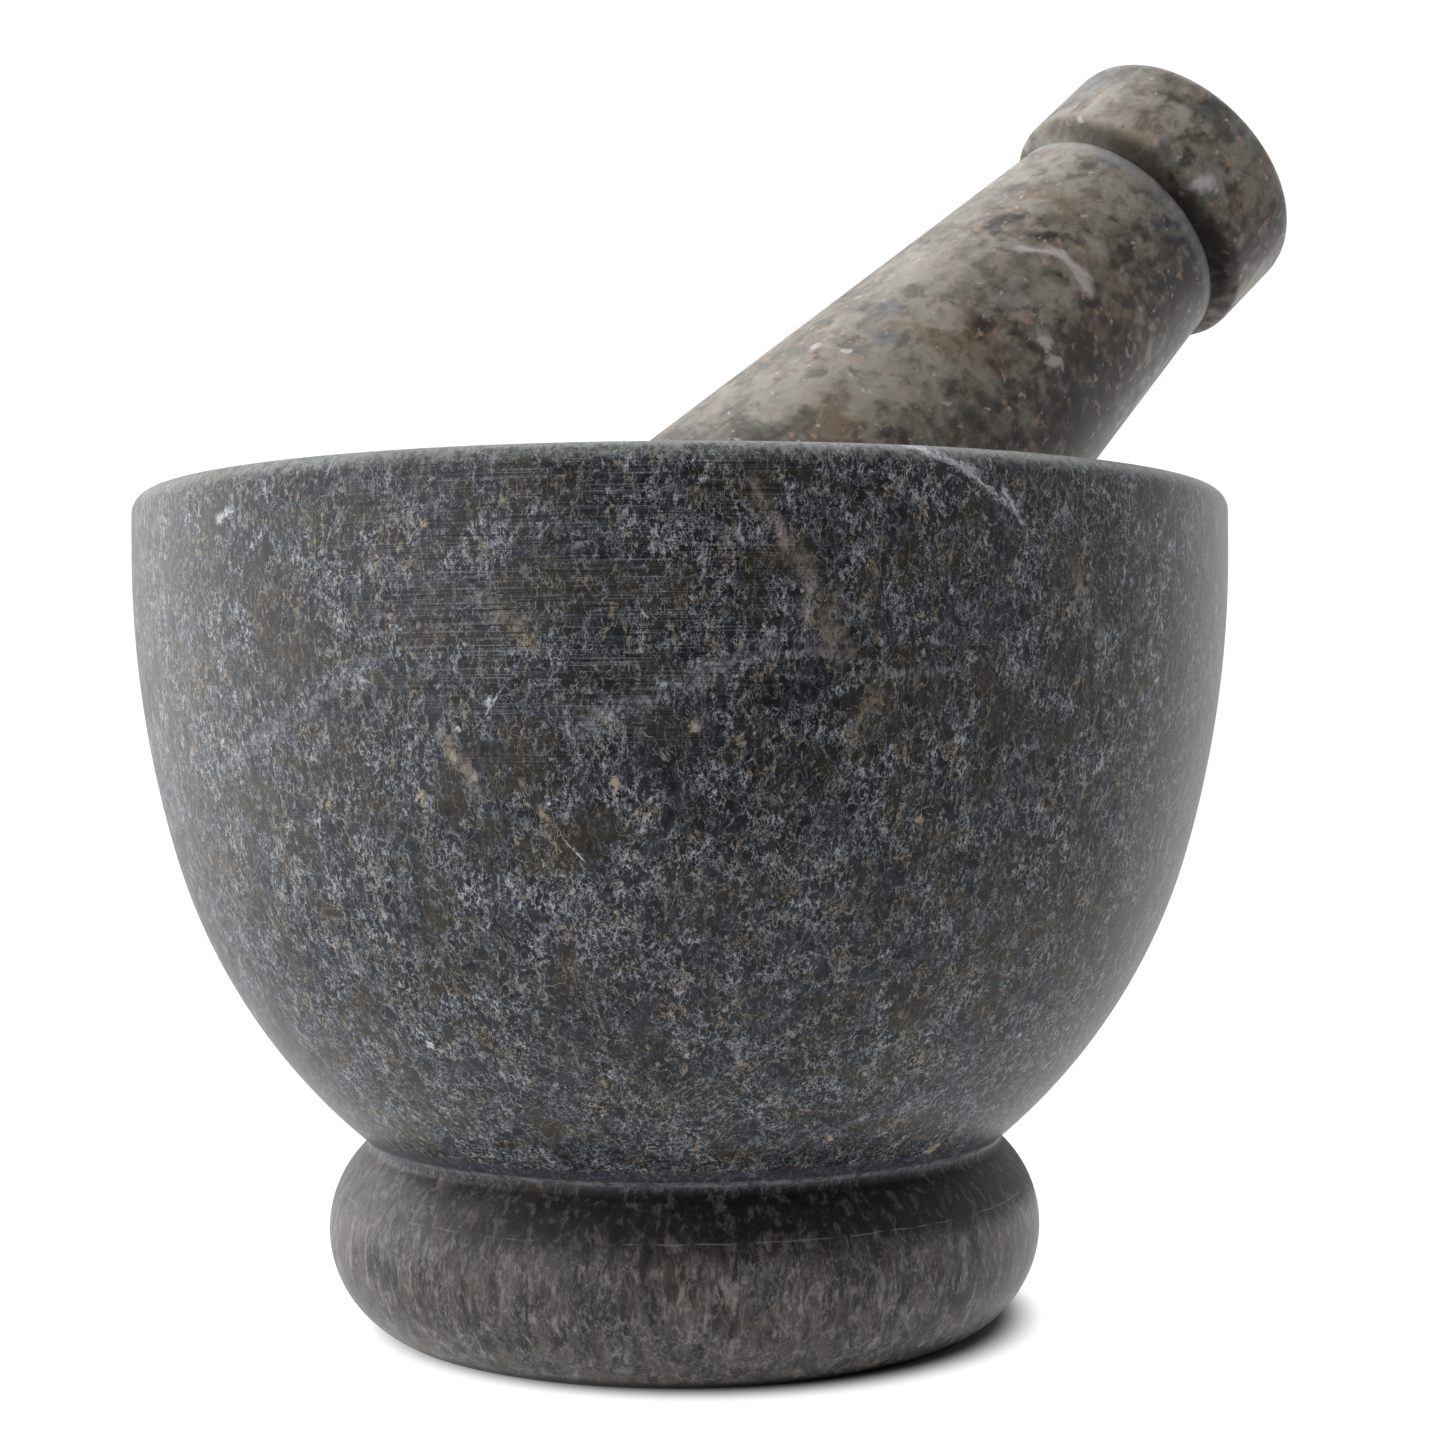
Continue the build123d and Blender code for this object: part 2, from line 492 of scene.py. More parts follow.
# ---------------------------------------------------------------------------------------------
# The mortar's stone
# ---------------------------------------------------------------------------------------------
# Heights and radii on the mortar, in millimetres
MORTAR_TOP = MORTAR_HEIGHT / MM
RIM_HIGHLIGHT_BAND = (MORTAR_TOP - 1.7, MORTAR_TOP - 0.6)
RIM_FLAT_TO_OUTSIDE = (45.0, 48.6)
FLECKS_THIN_TO_FULL = (24.0, 52.0)
COLLAR_BAND = (16.4, 16.7, 18.0, 18.6)
CHIPPED_HEIGHT = 17.0
FOOT_TOP = (16.6, 16.0)
SHOULDER_TOP = (16.9, 16.2)
SHOULDER_BOTTOM = (10.0, 13.5)
SHOULDER_FROM_LEFT = (-27.0, -10.0)
SCORE_HEIGHT = 12.9
BASE_SHADE_HEIGHTS = (1.1, 0.3)

MORTAR_GROUND_DEEP = srgb(18, 19, 23)
MORTAR_GROUND = srgb(43, 46, 52)
MORTAR_OLIVE = srgb(44, 40, 32)
MORTAR_CLOUD = srgb(10, 10, 11)
COOL_FLECK = srgb(168, 172, 178)
WARM_FLECK = srgb(168, 156, 141)
TAN_THREAD = srgb(146, 136, 122)
TAN_BLOT = srgb(150, 137, 121)
GREY_VEIN = srgb(140, 142, 150)
SCRATCH_PALE = srgb(130, 134, 146)
SCRATCH_DARK = srgb(10, 10, 13)
COLLAR_GREY = srgb(58, 59, 67)
CHIPPED_GREY = srgb(138, 136, 142)
RIM_HIGHLIGHT_GREY = srgb(122, 127, 123)
MORTAR_WHITE = srgb(190, 192, 200)
FOOT_DEEP = srgb(36, 33, 33)
FOOT_BROWN = srgb(76, 71, 67)
FOOT_STRAND = srgb(158, 151, 145)
SHOULDER_SHADE = srgb(96, 91, 98)
SHOULDER_WISP = srgb(104, 96, 98)
BASE_EDGE_SHADE = srgb(8, 7, 7)
SCORED_GREY = srgb(112, 108, 108)
WHITE_GRAIN = srgb(178, 180, 184)
BLACK_PIT = srgb(12, 12, 13)

# Veins: turn and height of the middle, slope in degrees, length, width
GREY_VEINS = [
    (-44, 53, 24, 13, 0.9), (-33, 57, 30, 12, 1.0), (-6, 55, 25, 8, 1.5),
    (2, 58, 22, 12, 1.2), (10, 59.3, 3, 6, 0.5), (20, 58, 4, 10, 0.4),
]
TAN_VEINS = [
    (7.5, 69, -66, 8, 0.8), (10, 65.5, -62, 9, 1.2), (12.5, 61.5, -64, 7, 2.0), (-15, 62, -40, 8, 1.1),
    (41, 61, -80, 6, 0.7), (38, 65, -70, 5, 0.9), (16, 55, 60, 5, 0.8), (-20, 51.5, -60, 7, 0.7),
]
WHITE_VEINS = [
    (23, 74, -20, 7, 0.5), (27, 72, -32, 6, 0.34), (30, 70.6, -55, 4, 0.26),
    (-46, 71, 20, 3, 0.6), (-10, 45, -50, 2.6, 0.1), (-16.5, 56, 55, 2.6, 0.12),
]
# Marks: turn and height of the middle, radius
WHITE_MARKS = [(-17, 56, 0.5), (-30, 29.2, 0.5), (43, 28.9, 0.4), (51, 57.7, 0.4), (-20, 54, 0.3)]
TAN_MARKS = [
    (41, 18.7, 0.8), (20, 21, 0.6), (-21, 52, 0.7), (-19, 50.5, 0.5),
    (-6, 50, 0.5), (1, 54, 0.5), (37, 63, 0.6), (22, 47, 0.5),
]
# Wide soft patches of painted shade over the front of the bowl: turn and height of the middle, radius
FRONT_SHADE_ZONES = [(-6, 57, 7), (8, 50, 9), (4, 40, 9), (18, 41, 8), (-8, 32, 7), (12, 30, 7)]
DARK_MARKS = [
    (-7, 57, 2.6), (4, 46.5, 2.0), (0, 27, 3.4), (22, 63.4, 0.9),
    (17, 72.5, 0.9), (5, 56, 2.2), (-9, 70.5, 3.0),
]
BLACK_PITS = [(-18, 33.6, 0.32), (-11, 48.9, 0.25), (8, 39, 0.2)]
OLIVE_MARKS = [
    (-12, 63.5, 3.4), (-36, 60, 3.0), (-14, 51.5, 2.6), (17, 55.5, 3.2), (31, 55, 2.6),
    (-11, 45, 2.4), (-36, 50, 2.2), (36, 66, 2.6), (33, 36, 3.0),
]
# The middle and the radius of the stretch with the clearest marks of the lathe
LATHE_ZONE = (-10, 68)
LATHE_ZONE_RADIUS = 25.0


class MortarStone(Stone):
    """The mortar's material, painted layer on layer."""

    LOOSENESS = 1.6
    RAGGEDNESS = 4.0
    VEIN_WANDER = 1.2
    PIT_SHIFT = (9.0, 0.0, 0.0)
    SHINE = 0.21

    def __init__(self):
        super().__init__("mortar_stone", on_mortar, self.LOOSENESS)
        squares = self.plus(self.times(self.x, self.x), self.times(self.y, self.y))
        self.from_axis = self.math("SQRT", squares)
        self.upright = self.drawn_up(self.warp(self.place, 1.1, 0.35), 0.55)
        self.ragged = self.uneven(self.RAGGEDNESS, scale=1.7, detail=5.0, roughness=0.75)

    def spots(self, rows, edge=0.5):
        return self.marks(rows, self.place, self.ragged, edge)

    def lines(self, rows):
        return self.veins(rows, self.ragged, self.VEIN_WANDER)

    def broken_up(self, noise, low, high, least):
        """A factor that leaves a layer whole where noise is high, and thins it to least where it is low."""
        return self.ramp(noise, low, high, least, 1.0)

    def ground(self):
        """Blue-grey, with olive patches, darker clouds, and painted shade over the front of the bowl."""
        olive = self.ramp(self.noise(self.loose, 0.2, 5.0, 0.62, seed=31.0), 0.52, 0.6)
        self.olive = self.most(olive, self.spots(OLIVE_MARKS, 0.3))
        clouds = self.ramp(self.noise(self.loose, 0.24, 5.0, 0.6), 0.42, 0.32)
        # painted shade: wide soft patches darken the front of the bowl at half strength
        front_shade = self.times(self.spots(FRONT_SHADE_ZONES, 0.9), 0.5)
        self.dark = self.most(clouds, self.spots(DARK_MARKS, 0.9), front_shade)
        grain = self.ramp(self.noise(self.loose, 0.9, 4.0, 0.65), 0.38, 0.62)
        colour = self.mix(grain, MORTAR_GROUND_DEEP, MORTAR_GROUND)
        colour = self.paint(colour, MORTAR_OLIVE, self.olive, 0.85)
        return self.paint(colour, MORTAR_CLOUD, self.dark, 0.6)

    def pale_flecks(self, colour):
        """Pale flecks and threads, thinner low down and on the olive and the dark ground."""
        density = self.broken_up(self.noise(self.loose, 0.22, 4.0, 0.6, seed=11.0), 0.36, 0.56, 0.35)
        thinned = self.math("SUBTRACT", 1.0, self.times(self.most(self.olive, self.dark), 0.6))
        density = self.times(density, thinned, self.ramp(self.height, *FLECKS_THIN_TO_FULL, 0.85, 1.0))
        clusters = self.broken_up(self.noise(self.upright, 0.8, 5.0, 0.7, seed=19.0), 0.44, 0.58, 0.05)
        flecks = self.times(self.ramp(self.noise(self.upright, 3.0, 5.0, 0.75), 0.5, 0.6), clusters)
        fine = self.threads(self.upright, 0.016, scale=0.9, detail=5.0, roughness=0.65)
        long = self.threads(self.drawn_up(self.loose, 0.45), 0.007, scale=0.42, detail=4.0, roughness=0.55)
        pale = self.math("ADD", self.times(flecks, 0.8), self.times(fine, 0.75), clamp=True)
        self.pale = self.most(self.times(pale, density), self.times(long, 0.45))
        warm = self.ramp(self.noise(self.loose, 0.5, 3.0, 0.6, seed=53.0), 0.52, 0.62)
        return self.mix(self.pale, colour, self.mix(warm, COOL_FLECK, WARM_FLECK))

    def tan_threads(self, colour):
        fibres = self.drawn_up(self.warp(self.place, 0.8, 0.5), 0.3)
        threads = self.threads(fibres, 0.012, scale=0.5, detail=3.0)
        patchy = self.broken_up(self.noise(self.place, 0.3, 3.0, 0.6, seed=43.0), 0.46, 0.6, 0.1)
        return self.paint(colour, TAN_THREAD, self.times(threads, patchy), 0.6)

    def tan_blots(self, colour):
        """Tan blots, specks and veins."""
        blots = self.ramp(self.noise(self.drawn_up(self.loose, 0.6), 0.55, 5.0, 0.7, seed=71.0), 0.635, 0.68)
        tan = self.most(self.times(blots, 0.6), self.spots(TAN_MARKS))
        flecked = self.broken_up(self.noise(self.upright, 2.2, 4.0, 0.7, seed=3.0), 0.36, 0.56, 0.15)
        mottled = self.broken_up(self.noise(self.upright, 1.3, 5.0, 0.72, seed=37.0), 0.42, 0.58, 0.2)
        veins = self.times(self.lines(TAN_VEINS), mottled, 0.5)
        return self.mix(self.most(self.times(tan, flecked), veins), colour, TAN_BLOT)

    def grey_veins(self, colour):
        broken = self.broken_up(self.noise(self.upright, 2.2, 5.0, 0.75, seed=13.0), 0.46, 0.56, 0.12)
        return self.paint(colour, GREY_VEIN, self.times(self.lines(GREY_VEINS), broken), 0.5)

    def lathe_marks(self, colour):
        """Fine level scratches, strongest near the top of the front."""
        along_ring = (self.times(self.x, 0.1), self.times(self.y, 0.1))
        across_ring = self.times(self.plus(self.height, self.from_axis), 8.0)
        swept = self.node("ShaderNodeCombineXYZ", enumerate((*along_ring, across_ring))).outputs[0]
        self.streak = self.noise(swept, 1.0, 4.0, 0.7)
        flattened = self.vector("MULTIPLY", self.place, (0.5, 0.5, 1.6))
        patchy = self.ramp(self.noise(flattened, 0.7, 4.0, 0.6, seed=59.0), 0.36, 0.56)
        centre = on_mortar(*LATHE_ZONE)
        zone = self.blob(self.place, centre, LATHE_ZONE_RADIUS, self.times(self.ragged, 0.15), 0.7)
        elsewhere = self.ramp(self.noise(self.place, 0.06, seed=5.0), 0.54, 0.7, 0.0, 0.35)
        self.scratched = self.times(self.most(zone, elsewhere), patchy)
        pale = self.times(self.ramp(self.streak, 0.54, 0.64), self.scratched)
        dark = self.times(self.ramp(self.streak, 0.47, 0.4), self.scratched)
        colour = self.paint(colour, SCRATCH_PALE, pale, 0.5)
        return self.paint(colour, SCRATCH_DARK, dark, 0.9)

    def collar(self, colour):
        """The smooth collar just above the neck, with a pale, chipped lower edge."""
        colour = self.paint(colour, COLLAR_GREY, self.band(self.height, *COLLAR_BAND), 0.6)
        edge = self.near(self.height, CHIPPED_HEIGHT, 0.1, 0.3)
        chips = self.broken_up(self.noise(self.place, 1.0, 3.0, 0.7), 0.42, 0.58, 0.2)
        return self.paint(colour, CHIPPED_GREY, self.times(edge, chips), 0.5)

    def rim_highlight(self, colour):
        """A painted highlight on the rim's rounded edge, weaker on the flat of the rim than outside."""
        edge = self.plus(self.height, self.times(self.ragged, 0.7))
        rim = self.ramp(edge, *RIM_HIGHLIGHT_BAND)
        rim = self.times(rim, self.ramp(self.from_axis, *RIM_FLAT_TO_OUTSIDE, 0.55, 1.0))
        upright = self.drawn_up(self.place, 0.3)
        flaky = self.broken_up(self.noise(upright, 2.0, 5.0, 0.7, seed=41.0), 0.38, 0.6, 0.2)
        # painted highlight: a paler grey-green along the rim's rounding, where the light catches it
        return self.paint(colour, RIM_HIGHLIGHT_GREY, self.times(rim, flaky), 0.7)

    def white_veins(self, colour):
        white = self.most(self.lines(WHITE_VEINS), self.spots(WHITE_MARKS, 0.8))
        flecked = self.broken_up(self.noise(self.upright, 2.6, 4.0, 0.7, seed=29.0), 0.36, 0.54, 0.1)
        return self.paint(colour, MORTAR_WHITE, self.times(white, flecked), 0.85)

    def foot(self, colour):
        """A browner foot with soft upright streaks, painted shade on its shoulder and lower edge, and a
        scored line.
        """
        fibres = self.drawn_up(self.warp(self.place, 0.5, 0.5), 0.27)
        grain = self.ramp(self.noise(fibres, 0.8, 4.0, 0.6), 0.38, 0.64)
        wisps = self.ramp(self.noise(fibres, 1.2, 4.0, 0.65, seed=17.0), 0.5, 0.66)
        threads = self.threads(fibres, 0.03, scale=0.6, detail=3.0, roughness=0.6)
        strands = self.most(self.times(threads, 0.6), wisps)
        patches = self.noise(self.place, 0.5, 3.0)
        foot = self.mix(grain, FOOT_DEEP, FOOT_BROWN)
        foot = self.mix(self.times(strands, self.ramp(patches, 0.36, 0.6, 0.15, 0.55)), foot, FOOT_STRAND)
        colour = self.paint(colour, foot, self.ramp(self.height, *FOOT_TOP), 0.68)

        # painted shade on the foot's shoulder under the bowl's overhang, lighter towards the left, where the
        # light comes from
        ragged_height = self.plus(self.height, self.ragged)
        shoulder = self.ramp(self.height, *SHOULDER_TOP)
        shoulder = self.times(shoulder, self.ramp(ragged_height, *SHOULDER_BOTTOM))
        self.shoulder = self.times(shoulder, self.ramp(self.x, *SHOULDER_FROM_LEFT, 0.3, 1.0))
        colour = self.mix(self.shoulder, colour, SHOULDER_SHADE, "MULTIPLY")
        colour = self.paint(colour, SHOULDER_WISP, self.times(wisps, self.shoulder), 0.35)
        # painted shade: the lowest millimetre of the foot goes nearly black, standing in for the contact
        # shadow
        colour = self.paint(colour, BASE_EDGE_SHADE, self.ramp(self.height, *BASE_SHADE_HEIGHTS), 0.9)

        wavy_height = self.plus(self.times(self.noise(self.place, 0.2, 3.0), 0.5), self.height)
        score = self.times(self.near(wavy_height, SCORE_HEIGHT, 0.0, 0.09), self.ramp(patches, 0.42, 0.6))
        return self.paint(colour, SCORED_GREY, score, 0.6)

    def grains_and_pits(self, colour):
        """Black pits and tiny white grains."""
        colour = self.mix(self.specks(self.place, 0.3, 0.18, 0.06), colour, WHITE_GRAIN)
        moved = self.vector("ADD", self.place, self.PIT_SHIFT)
        self.pits = self.most(self.specks(moved, 0.3, 0.2, 0.06), self.spots(BLACK_PITS))
        return self.paint(colour, BLACK_PIT, self.pits, 0.9)

    def bumps(self):
        """The flecks and the lathe's streaks stand out, and the pits are sunk."""
        flecks_and_pits = self.math("SUBTRACT", self.times(self.pale, 0.3), self.pits)
        return self.plus(flecks_and_pits, self.times(self.streak, self.scratched))


def mortar_stone():
    stone = MortarStone()
    colour = stone.ground()
    colour = stone.pale_flecks(colour)
    colour = stone.tan_threads(colour)
    colour = stone.tan_blots(colour)
    colour = stone.grey_veins(colour)
    colour = stone.lathe_marks(colour)
    colour = stone.collar(colour)
    colour = stone.rim_highlight(colour)
    colour = stone.white_veins(colour)
    colour = stone.foot(colour)
    colour = stone.grains_and_pits(colour)
    fleck_roughness = stone.ramp(stone.pale, 0.0, 1.0, 0.36, 0.5)
    shoulder_roughness = stone.ramp(stone.shoulder, 0.0, 1.0, 0.36, 0.62)
    return stone.finish(colour, stone.most(fleck_roughness, shoulder_roughness), stone.SHINE, stone.bumps())


# ---------------------------------------------------------------------------------------------
# The pestle's stone
# ---------------------------------------------------------------------------------------------
# The height of the ridge at the shaft's top, in millimetres from the grinding end's centre
RIDGE_HEIGHT = SHAFT_LENGTH / MM
GROOVE_BAND = (RIDGE_HEIGHT - 0.1, RIDGE_HEIGHT + 0.5, RIDGE_HEIGHT + 1.6, RIDGE_HEIGHT + 2.6)
RIDGE_HIGHLIGHT_BAND = (RIDGE_HEIGHT - 1.9, RIDGE_HEIGHT - 0.9, RIDGE_HEIGHT - 0.1, RIDGE_HEIGHT + 0.1)
# The direction of the pestle's side, in its own frame, where painted shade darkens the groove, away from
# the light, and how far from the axis towards it the shade starts and is full
GROOVE_SHADED_SIDE = (-0.26, -0.97, 0.0)
GROOVE_SHADE_START_TO_FULL = (2.0, 11.0)

PESTLE_GROUND_DEEP = srgb(94, 89, 81)
PESTLE_GROUND = srgb(126, 120, 109)
PESTLE_BEIGE_AND_LIGHT = srgb(150, 145, 134)
PESTLE_RUST = srgb(108, 88, 70)
PESTLE_SLATE = srgb(92, 98, 106)
PESTLE_CLOUD_AND_SHADE = srgb(30, 26, 25)
PALE_SPOT = srgb(150, 140, 132)
DEEP_SPOT = srgb(46, 40, 38)
PINK_SPOT = srgb(158, 132, 112)
LILAC_SPOT = srgb(176, 172, 176)
PESTLE_WHITE = srgb(190, 182, 184)
GROOVE_SHADE_BROWN = srgb(24, 19, 16)
RIDGE_HIGHLIGHT_GREY = srgb(140, 142, 144)

# Soft patches: turn round the axis and height along it of the middle, radius
# The dark patches, mostly on the lower right, are partly painted shade, and the pale ones, mostly on the
# upper left, partly painted light
PESTLE_DARK_AND_SHADE = [
    (-119, 60, 2.6), (-72, 64, 9.0), (-80, 48, 10.0), (-100, 43, 6.0), (-112, 92, 1.6),
    (-148, 72.5, 2.4), (-128, 74, 2.6), (-101, 78, 2.6), (-66, 84, 8.0), (-60, 72, 9.0),
    (-64, 64, 16.0), (-62, 84, 14.0), (-58, 95, 6.0),
]
PESTLE_PALE_AND_LIT = [
    (-126, 46, 4.5), (-104, 70, 3.5), (-153, 84, 4.0), (-147, 93, 5.0), (-159, 64, 7.0),
    (-132, 49, 5.0), (-151, 44, 6.0), (-138, 82, 4.0), (-140, 58, 6.0), (-125, 94, 4.0),
    (-126, 50, 7.0), (-107, 69, 5.0), (-119, 83, 5.0), (-144, 88, 4.0), (-86, 93, 5.0),
]
PESTLE_BROWN = [(-87, 70, 5.0), (-86, 76, 4.0), (-75, 93, 4.0), (-131, 90, 2.6), (-123, 59, 2.4)]
# The blue patch at the cap's upper left is partly a painted highlight
PESTLE_BLUE_AND_HIGHLIGHT = [(-178, 98, 5.0), (-106, 100, 3.0), (-140, 88, 1.6), (-96, 86, 3.0)]
PESTLE_WHITE_MARKS = [
    (-97, 91.0, 1.5), (-132, 64, 0.6), (-140, 53, 0.5), (-148, 49, 0.5),
    (-163, 90.4, 0.5), (-162, 48, 1.0), (-100, 64.3, 1.1), (-93, 63.2, 1.2),
]
# Veins: turn and height of the middle, slope in degrees, length, width
PESTLE_WHITE_VEINS = [(-127, 71.6, 40, 5, 0.6), (-114, 73, 2, 6, 0.8), (-105, 72.4, -25, 4, 0.85)]


class PestleStone(Stone):
    """The pestle's material, painted layer on layer."""

    LOOSENESS = 2.0
    RAGGEDNESS = 2.4
    VEIN_WANDER = 1.0
    SHINE = 0.2

    def __init__(self):
        super().__init__("pestle_stone", on_pestle, self.LOOSENESS)
        self.ragged = self.uneven(self.RAGGEDNESS, scale=0.6, detail=3.0, roughness=0.5)

    def spots(self, rows, edge=0.8):
        return self.marks(rows, self.loose, self.ragged, edge)

    def patches(self, rows, low, high, **noise):
        """Patches that a noise makes, together with those in rows."""
        return self.most(self.ramp(self.noise(self.loose, **noise), low, high), self.spots(rows))

    def ground(self):
        """Olive-brown, with pale patches partly painted light above, brown ones, blue ones partly a painted
        highlight on the cap, and dark ones partly painted shade below; no dark clouds on the pale marks.
        """
        lit = self.spots(PESTLE_PALE_AND_LIT)
        clouds = self.ramp(self.noise(self.loose, 0.13, 5.0, 0.6), 0.48, 0.32, 0.0, 0.75)
        clouds = self.times(clouds, self.math("SUBTRACT", 1.0, lit))
        self.dark = self.most(clouds, self.spots(PESTLE_DARK_AND_SHADE))
        pale = self.most(self.ramp(self.noise(self.loose, 0.14, 3.0, 0.5, seed=47.0), 0.5, 0.68), lit)
        brown = self.patches(PESTLE_BROWN, 0.54, 0.66, scale=0.16, detail=4.0, roughness=0.6, seed=23.0)
        blue = self.patches(PESTLE_BLUE_AND_HIGHLIGHT, 0.58, 0.7, scale=0.15, detail=4.0, roughness=0.6, seed=83.0)
        grain = self.ramp(self.noise(self.loose, 0.5, 4.0, 0.55), 0.34, 0.66)
        colour = self.mix(grain, PESTLE_GROUND_DEEP, PESTLE_GROUND)
        # pale patches, partly painted light on the upper side
        colour = self.paint(colour, PESTLE_BEIGE_AND_LIGHT, pale, 0.62)
        colour = self.paint(colour, PESTLE_RUST, brown, 0.6)
        # blue patches, the one at the cap's upper left partly a painted highlight
        colour = self.paint(colour, PESTLE_SLATE, blue, 0.7)
        # dark patches, partly painted shade on the lower side
        return self.paint(colour, PESTLE_CLOUD_AND_SHADE, self.dark, 0.82)

    def mottling(self, colour):
        """Small soft spots: pale ones, which fade on the dark, then dark, pink and lilac ones."""
        spots = self.ramp(self.noise(self.place, 0.6, 3.0, 0.5, seed=5.0), 0.52, 0.7)
        colour = self.mix(self.times(spots, self.ramp(self.dark, 0.0, 1.0, 0.45, 0.15)), colour, PALE_SPOT)
        deep = self.ramp(self.noise(self.loose, 0.4, 3.0, 0.5, seed=61.0), 0.5, 0.28)
        colour = self.paint(colour, DEEP_SPOT, deep, 0.6)
        pink = self.ramp(self.noise(self.place, 0.8, seed=67.0), 0.62, 0.74)
        colour = self.paint(colour, PINK_SPOT, pink, 0.6)
        lilac = self.ramp(self.noise(self.place, 0.9, seed=97.0), 0.66, 0.76)
        return self.paint(colour, LILAC_SPOT, lilac, 0.6)

    def white_veins(self, colour):
        veins = self.veins(PESTLE_WHITE_VEINS, self.ragged, self.VEIN_WANDER)
        white = self.most(veins, self.spots(PESTLE_WHITE_MARKS, 0.6))
        return self.paint(colour, PESTLE_WHITE, white, 0.68)

    def groove_and_ridge(self, colour):
        """Painted shade in the groove under the cap, darkest away from the light, and a painted highlight on
        the ridge.
        """
        to_shaded_side = self.vector("DOT_PRODUCT", self.place, GROOVE_SHADED_SIDE)
        side_shade = self.ramp(to_shaded_side, *GROOVE_SHADE_START_TO_FULL, 0.25, 1.0)
        # painted shade: the groove under the cap darkens towards the side away from the light
        self.groove = self.times(self.band(self.height, *GROOVE_BAND), side_shade)
        colour = self.paint(colour, GROOVE_SHADE_BROWN, self.groove, 0.75)
        # painted highlight along the ridge at the shaft's top
        return self.paint(colour, RIDGE_HIGHLIGHT_GREY, self.band(self.height, *RIDGE_HIGHLIGHT_BAND), 0.4)


def pestle_stone():
    stone = PestleStone()
    colour = stone.ground()
    colour = stone.mottling(colour)
    colour = stone.white_veins(colour)
    colour = stone.groove_and_ridge(colour)
    return stone.finish(colour, stone.ramp(stone.groove, 0.0, 1.0, 0.38, 0.8), stone.SHINE)


# ---------------------------------------------------------------------------------------------
# The two pieces
# ---------------------------------------------------------------------------------------------
def mortar_spacing(point):
    """How far apart the mortar's rings are at a point of its outline."""
    radius, height = point
    from_bowl_centre = math.hypot(radius, height - BOWL_CENTRE_HEIGHT)
    if from_bowl_centre < BOWL_RADIUS + BOWL_SKIN and BOWL_LOWEST < height < BOWL_HIGHEST:
        return BOWL_SPACING
    if abs(height - NECK_HEIGHT) < NECK_REACH:
        return NECK_SPACING
    if height > RIM_LOWEST:
        return RIM_SPACING
    if height < BASE_HIGHEST:
        return BASE_SPACING
    return WALL_SPACING


def make_mortar():
    outline = resample(mortar_outline(), mortar_spacing, MORTAR_SOFTNESS)
    piece = lathe("mortar_stone", outline, MORTAR_COLUMNS)
    piece.data.materials.append(mortar_stone())
    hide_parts("mortar")
    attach(piece, "mortar")


def make_pestle():
    outline = resample(pestle_outline(), lambda point: PESTLE_SPACING, PESTLE_SOFTNESS)
    lean = Matrix.Rotation(PESTLE_TURN, 4, "Z") @ Matrix.Rotation(PESTLE_TILT, 4, "Y")
    place = Matrix.Translation(RIDGE_CENTRE) @ lean @ Matrix.Translation((0, 0, -SHAFT_LENGTH))
    piece = lathe("pestle_stone", outline, PESTLE_COLUMNS, place)
    piece.data.materials.append(pestle_stone())
    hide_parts("pestle")
    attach(piece, "pestle")


# ---------------------------------------------------------------------------------------------
# The studio
# ---------------------------------------------------------------------------------------------
def make_camera():
    data = bpy.data.cameras.new("camera")
    data.lens = CAMERA_LENS_MM
    data.sensor_width = CAMERA_SENSOR_MM
    data.clip_start = CAMERA_NEAREST
    camera = bpy.data.objects.new("camera", data)
    turn = Matrix.Rotation(-CAMERA_YAW, 4, "Z") @ Matrix.Rotation(QUARTER_TURN + CAMERA_PITCH, 4, "X")
    turn = turn @ Matrix.Rotation(CAMERA_ROLL, 4, "Z")
    camera.matrix_world = Matrix.Translation((0, -CAMERA_DISTANCE, CAMERA_HEIGHT)) @ turn
    bpy.context.scene.collection.objects.link(camera)
    bpy.context.scene.camera = camera


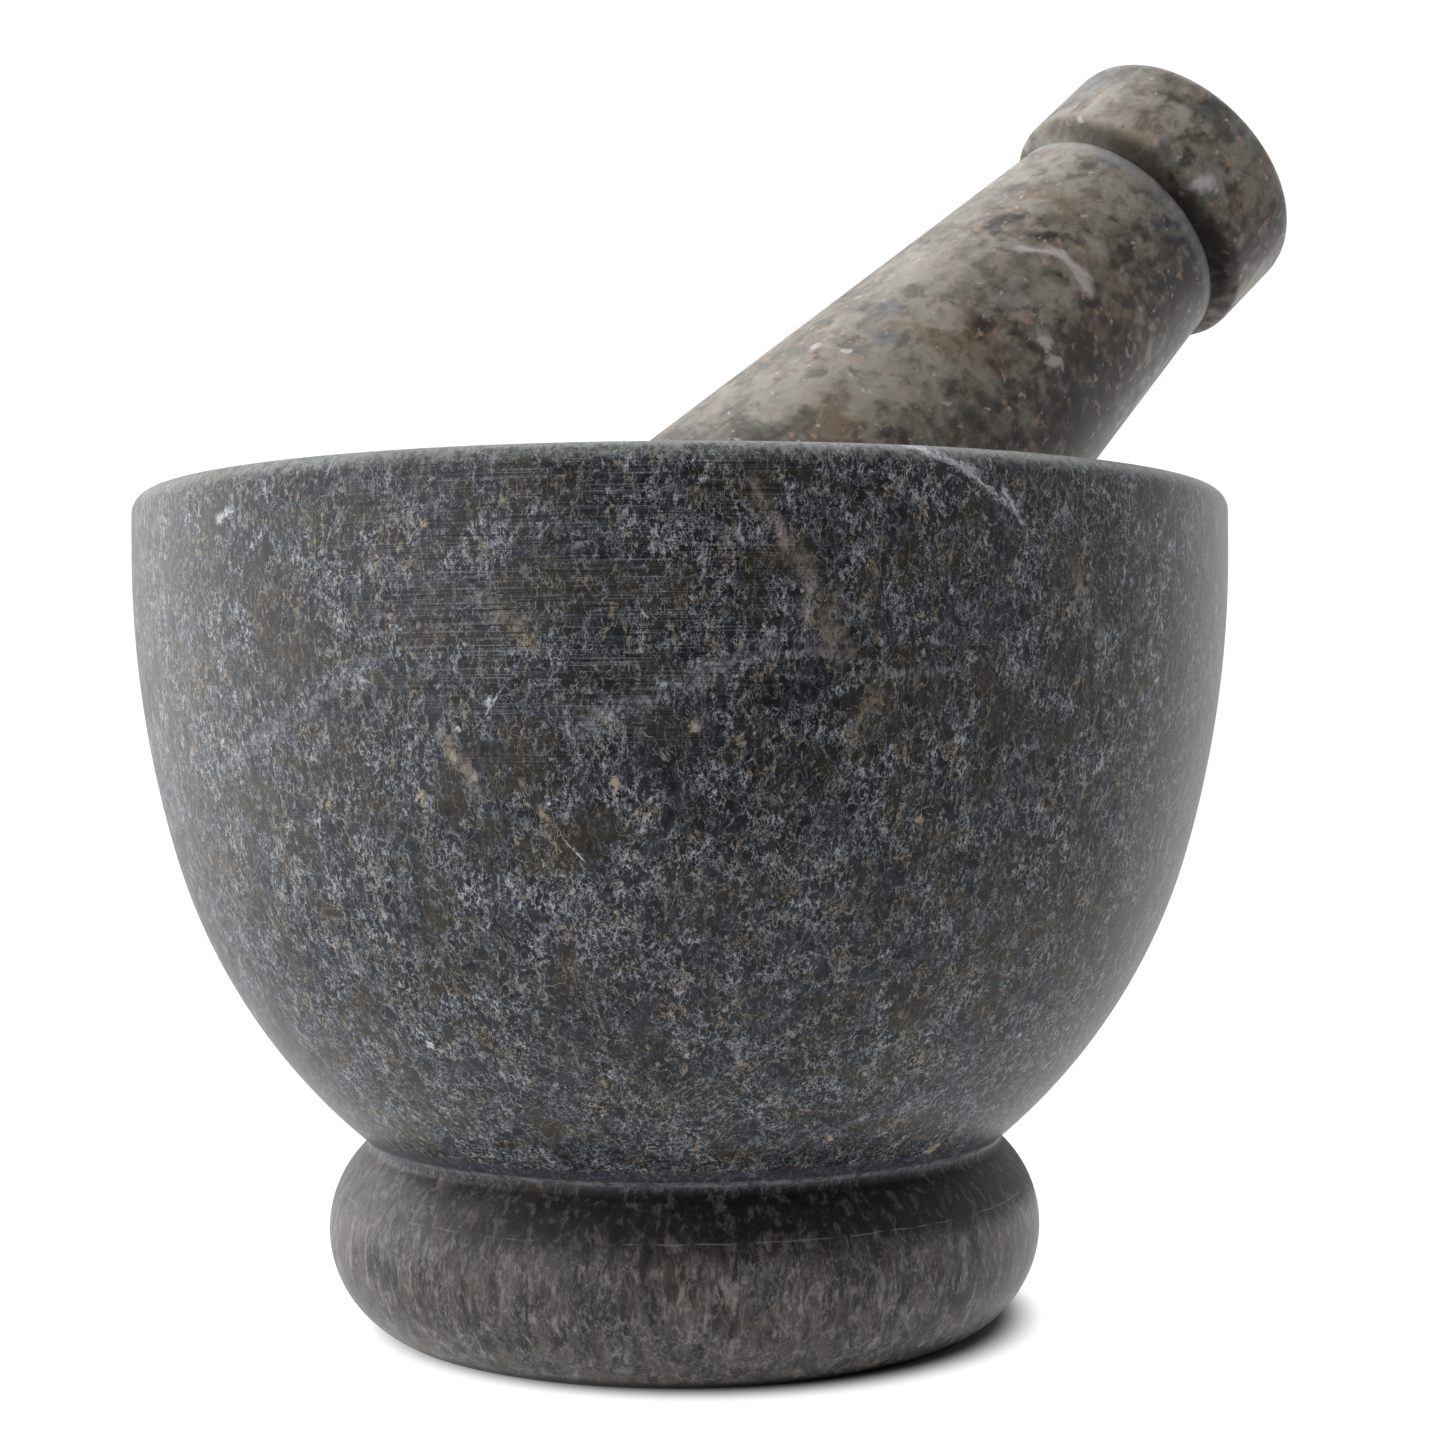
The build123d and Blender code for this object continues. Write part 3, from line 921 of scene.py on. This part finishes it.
def floor_material():
    material = bpy.data.materials.new("floor")
    material.use_nodes = True
    nodes = Nodes(material.node_tree)
    place = nodes.node("ShaderNodeTexCoord").outputs["Object"]
    from_foot = nodes.vector("LENGTH", nodes.vector("SUBTRACT", place, FLOOR_SHADE_CENTRE))
    inputs = {
        "Base Color": (0.1, 0.1, 0.1, 1),
        "Roughness": 0.8,
        "Emission Color": (1, 1, 1, 1),
        # painted contact shadow: the glow fades out near the foot, centred a little to the right
        "Emission Strength": nodes.ramp(from_foot, FLOOR_SHADE_FULL, FLOOR_SHADE_START, 0.0, FLOOR_GLOW),
    }
    nodes.end(nodes.node("ShaderNodeBsdfPrincipled", inputs), "ShaderNodeOutputMaterial")
    return material


def make_floor():
    angles = [side * 2 * math.pi / FLOOR_SIDES for side in range(FLOOR_SIDES)]
    ring = [(FLOOR_RADIUS * math.cos(angle), FLOOR_RADIUS * math.sin(angle), 0) for angle in angles]
    mesh = bpy.data.meshes.new("floor")
    mesh.from_pydata(ring, [], [tuple(range(FLOOR_SIDES))])
    mesh.materials.append(floor_material())
    floor = bpy.data.objects.new("floor", mesh)
    floor.location.z = -FLOOR_DROP
    bpy.context.scene.collection.objects.link(floor)


def make_world():
    """A white room: bright from the left, white behind, weaker at the right and above, dark in front."""
    world = bpy.data.worlds.new("studio")
    world.use_nodes = True
    nodes = Nodes(world.node_tree)
    direction = nodes.node("ShaderNodeTexCoord").outputs["Generated"]
    x, y, z = nodes.node("ShaderNodeSeparateXYZ", {0: direction}).outputs
    towards_key = nodes.vector("DOT_PRODUCT", direction, Vector(KEY_DIRECTION).normalized())
    behind = nodes.ramp(y, -0.3, 0.5)
    light = nodes.plus(
        nodes.ramp(towards_key, 0.3, 0.95, 0.0, KEY_GLOW),
        nodes.ramp(x, 0.3, 0.95, 0.0, RIGHT_GLOW),
        nodes.ramp(y, 0.1, 0.8, 0.0, BACK_GLOW),
        nodes.times(nodes.ramp(z, 0.5, 1.0, 0.0, TOP_GLOW), behind),
        DARKEST_GLOW,
    )
    # straight into the camera, the room is white all round
    seen = nodes.node("ShaderNodeLightPath").outputs["Is Camera Ray"]
    strength = nodes.most(light, nodes.times(seen, SEEN_GLOW))
    background = nodes.node("ShaderNodeBackground", {"Color": (1, 1, 1, 1), "Strength": strength})
    nodes.end(background, "ShaderNodeOutputWorld")
    bpy.context.scene.world = world
    bpy.context.scene.view_settings.view_transform = "Standard"


make_camera()
make_mortar()
make_pestle()
make_floor()
make_world()
